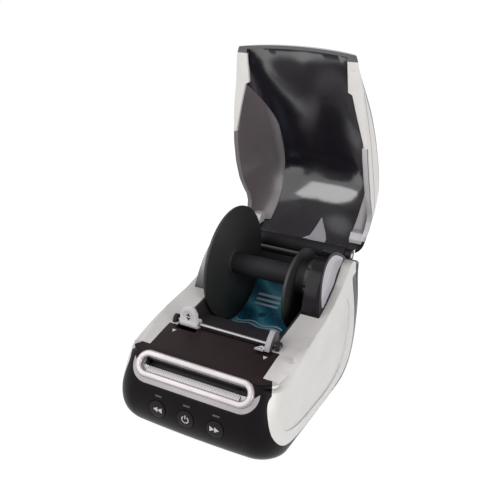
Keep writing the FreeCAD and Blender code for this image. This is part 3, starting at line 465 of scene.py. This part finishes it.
def node_finishes():
    own = {
        "exit_chute": lined("chute_lines", (0.40, 0.38, 0.38), (0.34, 0.44)),
        "lid_shell": glossy_inside(moulded("lid_gloss", (0.019, 0.016, 0.0215), (0.13, 0.18), 0.10, 900.0, 0.03,
                                           0.02), (0.0, 1.0), (0.13, 0.90)),
        "hinge_bar": moulded("hinge_black", (0.024, 0.022, 0.0245), (0.50, 0.65), 0.12, 1800.0, 0.2, 0.03,
                             shine=0.08),
        "spool_spindle": moulded("spindle_black", (0.030, 0.028, 0.031), (0.45, 0.55), 0.10, 1500.0, 0.1, 0.02,
                                 shine=0.08),
        "label_bin": moulded("bin_black", (0.030, 0.027, 0.0295), (0.38, 0.50), 0.10, 1500.0, 0.15, 0.02,
                             shine=0.20),
        "front_fascia": moulded("fascia_black", (0.0070, 0.0052, 0.0058), (0.30, 0.40), 0.12, 1800.0, 0.15,
                                0.02, shine=0.08),
        "deck_cover": moulded("deck_black", (0.0135, 0.0062, 0.0070), (0.30, 0.40), 0.12, 1800.0, 0.15, 0.02,
                              shine=0.13),
        "head_bracket": moulded("black_alloy", (0.012, 0.011, 0.011), (0.40, 0.55), 0.10, 700.0, 0.1, 0.02,
                                shine=0.2),
        "print_head": moulded("head_glaze", (0.030, 0.028, 0.026), (0.25, 0.40), 0.08, shine=0.3),
        "platen_bushes": moulded("bush_bronze", (0.06, 0.045, 0.025), (0.35, 0.50), 0.08, metallic=0.6),
        "guide_rod": moulded("rod_steel", (0.22, 0.215, 0.22), (0.30, 0.42), 0.06, 600.0, 0.08, 0.02,
                             metallic=1.0, stretch=(0.05, 1, 1)),
        "lid_buffers": moulded("buffer_pale", (0.60, 0.58, 0.57), (0.45, 0.60), 0.04),
        # Right lid liner: its rim, which faces across x, is painted a paler grey as a painted highlight; the
        # faces along x keep the liner's dark colour
        "right_lid_liner": turned("rim_highlight_liner", (0.48, 0.455, 0.465), LINER_DARK, "X", [(0.55, 0), (0.85, 1)],
                                  (0.30, 0.42)),
        # Left lid liner: a painted highlight, a paler band where the surface is half turned to x along its
        # rounded edge; the rest keeps the liner's dark grey
        "left_lid_liner": turned("edge_highlight_liner", (0.30, 0.28, 0.285), (0.128, 0.109, 0.116), "X",
                                 [(0.22, 1), (0.36, 0), (0.50, 0), (0.70, 1)], (0.28, 0.40)),
        "right_ear": moulded("ear_gloss", (0.010, 0.0082, 0.0100), (0.14, 0.22), 0.10, 900.0, 0.03, 0.02,
                             shine=0.12),
        # Left ear: paler towards the top, a painted reflection on its black
        "left_ear": fading("ear_painted_reflection", (0.06, 0.058, 0.058), (0.30, 0.29, 0.295), "Z", (72.0, 88.0),
                           (0.20, 0.30)),
        "rear_shell": moulded("rear_black", REAR_BLACK, (0.34, 0.46), 0.12, 1800.0, 0.2, 0.03, shine=0.16),
        "release_lever": moulded("lever_pale", (0.60, 0.575, 0.585), (0.30, 0.42), 0.05),
        # Label guide fin: the faces along x are painted in shade, the others lighter, as shaded and lit copies
        # of one grey
        "label_guide": turned("guide_fin_side_shade", (0.30, 0.285, 0.30), (0.06, 0.057, 0.06), "X",
                              [(0.45, 0), (0.80, 1)], (0.28, 0.40)),
    }
    own["tear_bar"] = own["head_bracket"]
    own["rod_brackets"] = own["hinge_bar"]
    for side, sign in SIDES.items():
        # Side panels: faces that look up and down are painted a darker grey, painted shade on the ledge tops
        top_shaded_shell = turned(side + "_panel_top_shade", PALE_SHELL, (0.50, 0.476, 0.466), "Z", [(0.78, 0), (1.0, 1)],
                            (0.30, 0.40), 0.12)
        lid_shell = moulded(side + "_lid_shell", PALE_SHELL, (0.30, 0.40), 0.025, coat=0.12)
        own[side + "_side_panel"] = banded(top_shaded_shell, side + "_side_panel", sign, SIDE_BAND)
        own[side + "_lid_panel"] = banded(lid_shell, side + "_lid_panel", sign, LID_BAND)
    return own


# Dress the CAD nodes

looks = {**finishes(), **node_finishes()}
mark_pale = moulded("mark_pale", (0.50, 0.49, 0.50), (0.40, 0.50), 0.05)
mark_white = moulded("mark_white", (0.72, 0.72, 0.72), (0.35, 0.45), 0.03)
groove_grey = moulded("groove_grey", (0.30, 0.285, 0.28), (0.45, 0.55), 0.05)
mark_dark = moulded("mark_dark", (0.030, 0.030, 0.034), (0.40, 0.50), 0.06)

# Widths of the rounded edges, in millimetres; the other nodes have none
BEVELS = {
    "front_fascia": 0.35, "deck_cover": 0.3, "right_side_panel": 1.5, "left_side_panel": 1.5,
    "right_lid_panel": 0.4, "left_lid_panel": 0.4, "lid_shell": 0.7, "right_lid_liner": 0.4,
    "left_lid_liner": 1.6,
    "right_ear": 0.8, "left_ear": 0.8, "spool_disc": 0.5, "spool_guide": 0.4, "spool_spindle": 0.4,
    "release_lever": 0.5, "label_guide": 0.4, "lid_end_blocks": 0.5, "label_bin": 0.3, "rear_shell": 0.3,
    "rewind_button": 0.4, "power_button": 0.4, "forward_button": 0.4, "exit_chute": 0.15,
}
for entry in frame["record"]["subparts"]:
    piece = nodes[entry["node"]]
    piece.data.materials.clear()
    piece.data.materials.append(looks.get(entry["node"], looks[entry["material_slot"]]))
    soften(piece, BEVELS.get(entry["node"], 0.0))


# Key symbols

inward = Vector((0, 1, 0))


def on_key(x):
    return lambda u, v: ((x + u) * MM, 0.0, (KEY_HEIGHT + v) * MM)


def double_arrow(way):
    tri = [(-0.2, 2.0), (-0.2, -2.0), (3.4, 0.0)]
    back = [(-3.8, 2.0), (-3.8, -2.0), (-0.2, 0.0)]
    return [[(way * u, v) for u, v in outline] for outline in (tri, back)]


power_sign = arc_band(2.5, 0.7, -235, 55, 16) + [bar_mark(-0.35, 0.35, 0.6, 3.3)]
key_signs = {"rewind": double_arrow(-1), "power": power_sign, "forward": double_arrow(1)}
for key, outlines in key_signs.items():
    printed(key + "_sign", key + "_button", outlines, on_key(KEY_SPOTS[key]), inward, mark_pale, "key_" + key)


# Marks on the deck, the lever, the label guide, the card and the lid

down = Vector((0, 0, -1))
mark_blue = moulded("mark_blue", (0.46, 0.60, 0.68), (0.30, 0.40), 0.05)
mark_teal = moulded("mark_teal", (0.012, 0.085, 0.15), (0.30, 0.40), 0.05)
label_grey = moulded("label_grey", (0.36, 0.34, 0.375), (0.25, 0.35), 0.04)


def from_above(x, y):
    return lambda u, v: ((x + u) * MM, (y + v) * MM, 0.1)


def on_lever(u, v):
    return ((LEVER_SIGN[0] + u) * MM, 0.0, (LEVER_SIGN[1] + v) * MM)


def ellipse(u, v, wide, tall, steps=20):
    turns = [2 * math.pi * n / steps for n in range(steps)]
    return [(u + wide * math.cos(t), v + tall * math.sin(t)) for t in turns]


for side, (x, y) in DECK_MARKS.items():
    triangle = [(-1.6, 1.4), (0.0, -1.6), (1.6, 1.4)]
    printed(side + "_deck_mark", "deck_cover", [triangle], from_above(x, y), down, mark_pale, "housing")

arrows = [[(-1.9, 0.5), (1.9, 0.5), (0.0, 3.0)], [(-1.9, -0.5), (0.0, -3.0), (1.9, -0.5)]]
printed("lever_sign", "release_lever", arrows, on_lever, inward, mark_dark, "lever")

guide_plate = [(-3.6, -0.3), (2.7, -0.3), (2.7, 4.2), (-0.7, 4.2)]
guide_ring = arc_band(1.5, 0.8, 0, 180, 14)
printed("guide_plate", "label_guide", [guide_plate], from_above(*GUIDE_SIGN), down, mark_white, "side_guide")
ring_sign = printed("guide_sign", "label_guide", guide_ring, from_above(*GUIDE_SIGN), down, mark_dark,
                    "side_guide")
ring_sign.location.z += MARK_THICK * MM

card_waves = [[(u, 26.0 + 2.2 * math.sin(0.30 * u) + shift + 1.1 * side) for u, side in
               [(n - 30.0, -1) for n in range(0, 43, 3)] + [(n - 30.0, 1) for n in range(42, -1, -3)]]
              for shift in (0.0, 5.0)]
card_bands = []
for wave in card_waves:
    half_way = len(wave) // 2
    for n in range(half_way - 1):
        card_bands.append([wave[n], wave[n + 1], wave[-2 - n], wave[-1 - n]])
card_dots = [ellipse(-24.0 + 11.0 * n, 44.0, 3.4, 3.0) for n in range(4)]
card_bars = [bar_mark(-26.0, -4.0, 54.0 + 4.0 * n, 55.8 + 4.0 * n) for n in range(3)]
printed("card_waves", "tray_card", card_bands, from_above(0.0, 0.0), down, mark_blue, "housing")
printed("card_dots", "tray_card", card_dots, from_above(0.0, 0.0), down, mark_teal, "housing")
printed("card_bars", "tray_card", card_bars, from_above(0.0, 0.0), down, mark_blue, "housing")


# Pale label low inside the lid

lid_way = Vector((0, 1, -1)).normalized()


def in_lid(u, v):
    return (u * MM, 0.5 * v * MM, 0.5 * v * MM)


label_outline = [(-4.0, 188.0), (1.8, 193.8), (3.6, 208.0), (5.0, 222.6), (9.4, 212.0), (14.2, 201.0),
                 (17.3, 191.3), (17.0, 187.0)]
printed("lid_label", "lid_shell", [label_outline], in_lid, lid_way, label_grey, "lid")


# Pale corners where the side panels run over the ends of the deck and the fascia

def facing(name, source, cuts, material, body):
    """A thin skin over the part of a node that lies on the inner side of every cut plane."""
    skin = bmesh.new()
    skin.from_mesh(nodes[source].data)
    bmesh.ops.remove_doubles(skin, verts=skin.verts, dist=0.002 * MM)
    for spot, way in cuts:
        everything = skin.verts[:] + skin.edges[:] + skin.faces[:]
        bmesh.ops.bisect_plane(skin, geom=everything, plane_co=Vector(spot) * MM, plane_no=way,
                               clear_outer=True)
    skin.normal_update()
    for point in skin.verts:
        point.co += point.normal * (MARK_THICK * MM)
    skin.verts.index_update()
    points = [point.co.copy() for point in skin.verts]
    faces = [[corner.index for corner in face.verts] for face in skin.faces]
    skin.free()
    return shape(name, points, faces, material, body)


for side, sign in SIDES.items():
    edge_cut = ((sign * CORNER_SPOT[0], CORNER_SPOT[1], CORNER_SPOT[2]),
                (-sign * CORNER_WAY[0], -CORNER_WAY[1], -CORNER_WAY[2]))
    for source in ("deck_cover", "front_fascia"):
        facing("%s_corner_%s" % (side, source), source,
               [edge_cut, ((0, 0, CORNER_FOOT), (0, 0, -1)), ((0, CORNER_BACK, 0), (0, 1, 0))],
               looks[side + "_side_panel"], "housing")


# Grooves along the pale sides of the lid

for side, sign in SIDES.items():
    half = GROOVE_WIDE / 2
    line = [(y0 + (y1 - y0) * n / GROOVE_STEPS, z0 + (z1 - z0) * n / GROOVE_STEPS)
            for (y0, z0), (y1, z1) in zip(GROOVE_LINE, GROOVE_LINE[1:]) for n in range(GROOVE_STEPS)]
    strips = [[(y0 - half, z0), (y1 - half, z1), (y1 + half, z1), (y0 + half, z0)]
              for (y0, z0), (y1, z1) in zip(line, line[1:])]
    printed(side + "_lid_groove", side + "_lid_panel", strips, lambda y, z, s=sign: (s * 0.06, y * MM, z * MM),
            Vector((-sign, 0, 0)), groove_grey, "lid")


# Screws under the base

def screw(name, x, y):
    steps = 24
    rings = [(2.6, 1.5), (2.6, 1.1), (2.2, 0.75)]
    points = []
    for radius, z in rings:
        points += [((x + radius * math.cos(2 * math.pi * n / steps)) * MM,
                    (y + radius * math.sin(2 * math.pi * n / steps)) * MM, z * MM) for n in range(steps)]
    faces = []
    for ring in range(len(rings) - 1):
        for n in range(steps):
            m = (n + 1) % steps
            faces.append([ring * steps + n, ring * steps + m, (ring + 1) * steps + m, (ring + 1) * steps + n])
    faces.append([(len(rings) - 1) * steps + n for n in reversed(range(steps))])
    shape(name, points, faces, looks["steel"], "housing")
    # The dark cross is painted shade standing in for the cross recess in the screw head
    cross = [bar_mark(-1.3, 1.3, -0.3, 0.3), bar_mark(-0.3, 0.3, -1.3, 1.3)]
    points = [((x + u) * MM, (y + v) * MM, 0.72 * MM) for outline in cross for u, v in outline]
    shape(name + "_cross_shade", points, [[3, 2, 1, 0], [7, 6, 5, 4]], mark_dark, "housing")


for count, (x, y) in enumerate(SCREW_SPOTS):
    screw("base_screw_%d" % (count + 1), x, y)


# Stage

def seen_share(tree, most):
    """How much of the plain white a ray sees: all or most of it for camera, mirrored and see-through rays."""
    path = tree.nodes.new("ShaderNodeLightPath")
    total = path.outputs["Is Camera Ray"]
    for kind in ("Is Glossy Ray", "Is Transmission Ray"):
        both = tree.nodes.new("ShaderNodeMath")
        both.operation = "MAXIMUM"
        tree.links.new(total, both.inputs[0])
        tree.links.new(path.outputs[kind], both.inputs[1])
        total = both.outputs[0]
    share = tree.nodes.new("ShaderNodeMath")
    share.operation = "MULTIPLY"
    share.inputs[1].default_value = most
    tree.links.new(total, share.inputs[0])
    return share.outputs[0]


def matte_floor():
    material = bpy.data.materials.new("stage_floor")
    material.use_nodes = True
    tree = material.node_tree
    tree.nodes.clear()
    out = tree.nodes.new("ShaderNodeOutputMaterial")
    mix = tree.nodes.new("ShaderNodeMixShader")
    diffuse = tree.nodes.new("ShaderNodeBsdfDiffuse")
    glow = tree.nodes.new("ShaderNodeEmission")
    diffuse.inputs["Color"].default_value = (FLOOR_GREY, FLOOR_GREY, FLOOR_GREY, 1)
    glow.inputs["Color"].default_value = (1, 1, 1, 1)
    glow.inputs["Strength"].default_value = FLOOR_WHITE
    tree.links.new(seen_share(tree, FLOOR_SHARE), mix.inputs["Fac"])
    tree.links.new(diffuse.outputs[0], mix.inputs[1])
    tree.links.new(glow.outputs[0], mix.inputs[2])
    tree.links.new(mix.outputs[0], out.inputs["Surface"])
    return material


def make_floor():
    corners = [(-1, -1), (1, -1), (1, 1), (-1, 1)]
    mesh = bpy.data.meshes.new("floor")
    points = [(x * FLOOR_REACH, y * FLOOR_REACH, -FLOOR_DROP * MM) for x, y in corners]
    mesh.from_pydata(points, [], [(0, 1, 2, 3)])
    mesh.materials.append(matte_floor())
    floor = bpy.data.objects.new("floor", mesh)
    bpy.context.scene.collection.objects.link(floor)


def make_world():
    world = bpy.data.worlds.new("studio")
    bpy.context.scene.world = world
    world.use_nodes = True
    tree = world.node_tree
    tree.nodes.clear()
    out = tree.nodes.new("ShaderNodeOutputWorld")
    mix = tree.nodes.new("ShaderNodeMixShader")
    room = tree.nodes.new("ShaderNodeBackground")
    white = tree.nodes.new("ShaderNodeBackground")
    room.inputs["Color"].default_value = (*ROOM_COLOUR, 1)
    room.inputs["Strength"].default_value = ROOM_LIGHT
    white.inputs["Color"].default_value = (1, 1, 1, 1)
    white.inputs["Strength"].default_value = 1.0
    tree.links.new(seen_share(tree, 1.0), mix.inputs["Fac"])
    tree.links.new(room.outputs[0], mix.inputs[1])
    tree.links.new(white.outputs[0], mix.inputs[2])
    tree.links.new(mix.outputs[0], out.inputs["Surface"])


def soft_box(name, spot, target, size, power):
    data = bpy.data.lights.new(name, "AREA")
    data.shape = "RECTANGLE"
    data.size, data.size_y = size
    data.energy = power
    lamp = bpy.data.objects.new(name, data)
    bpy.context.scene.collection.objects.link(lamp)
    lamp.location = spot
    aim = Vector(target) - Vector(spot)
    lamp.rotation_euler = aim.to_track_quat("-Z", "Y").to_euler()


def make_lights():
    for name, spot, size, power in LAMPS:
        soft_box(name, spot, LAMP_AIM, size, power)


def make_camera():
    yaw, pitch, roll = (math.radians(a) for a in (CAMERA_YAW, CAMERA_PITCH, CAMERA_ROLL))
    ahead = Vector((-math.sin(yaw) * math.cos(pitch), math.cos(yaw) * math.cos(pitch), -math.sin(pitch)))
    right = Vector((math.cos(yaw), math.sin(yaw), 0.0))
    up = right.cross(ahead)
    right, up = right * math.cos(roll) + up * math.sin(roll), up * math.cos(roll) - right * math.sin(roll)
    data = bpy.data.cameras.new("photo_camera")
    data.sensor_width = SENSOR
    data.lens = SENSOR * FOCAL_PIXELS / PHOTO_PIXELS
    camera = bpy.data.objects.new("photo_camera", data)
    bpy.context.scene.collection.objects.link(camera)
    turn = Matrix((right, up, -ahead)).transposed().to_4x4()
    camera.matrix_world = Matrix.Translation(Vector(CAMERA_SPOT) * MM) @ turn
    bpy.context.scene.camera = camera


make_floor()
make_world()
make_lights()
make_camera()
bpy.context.scene.view_settings.view_transform = "Standard"
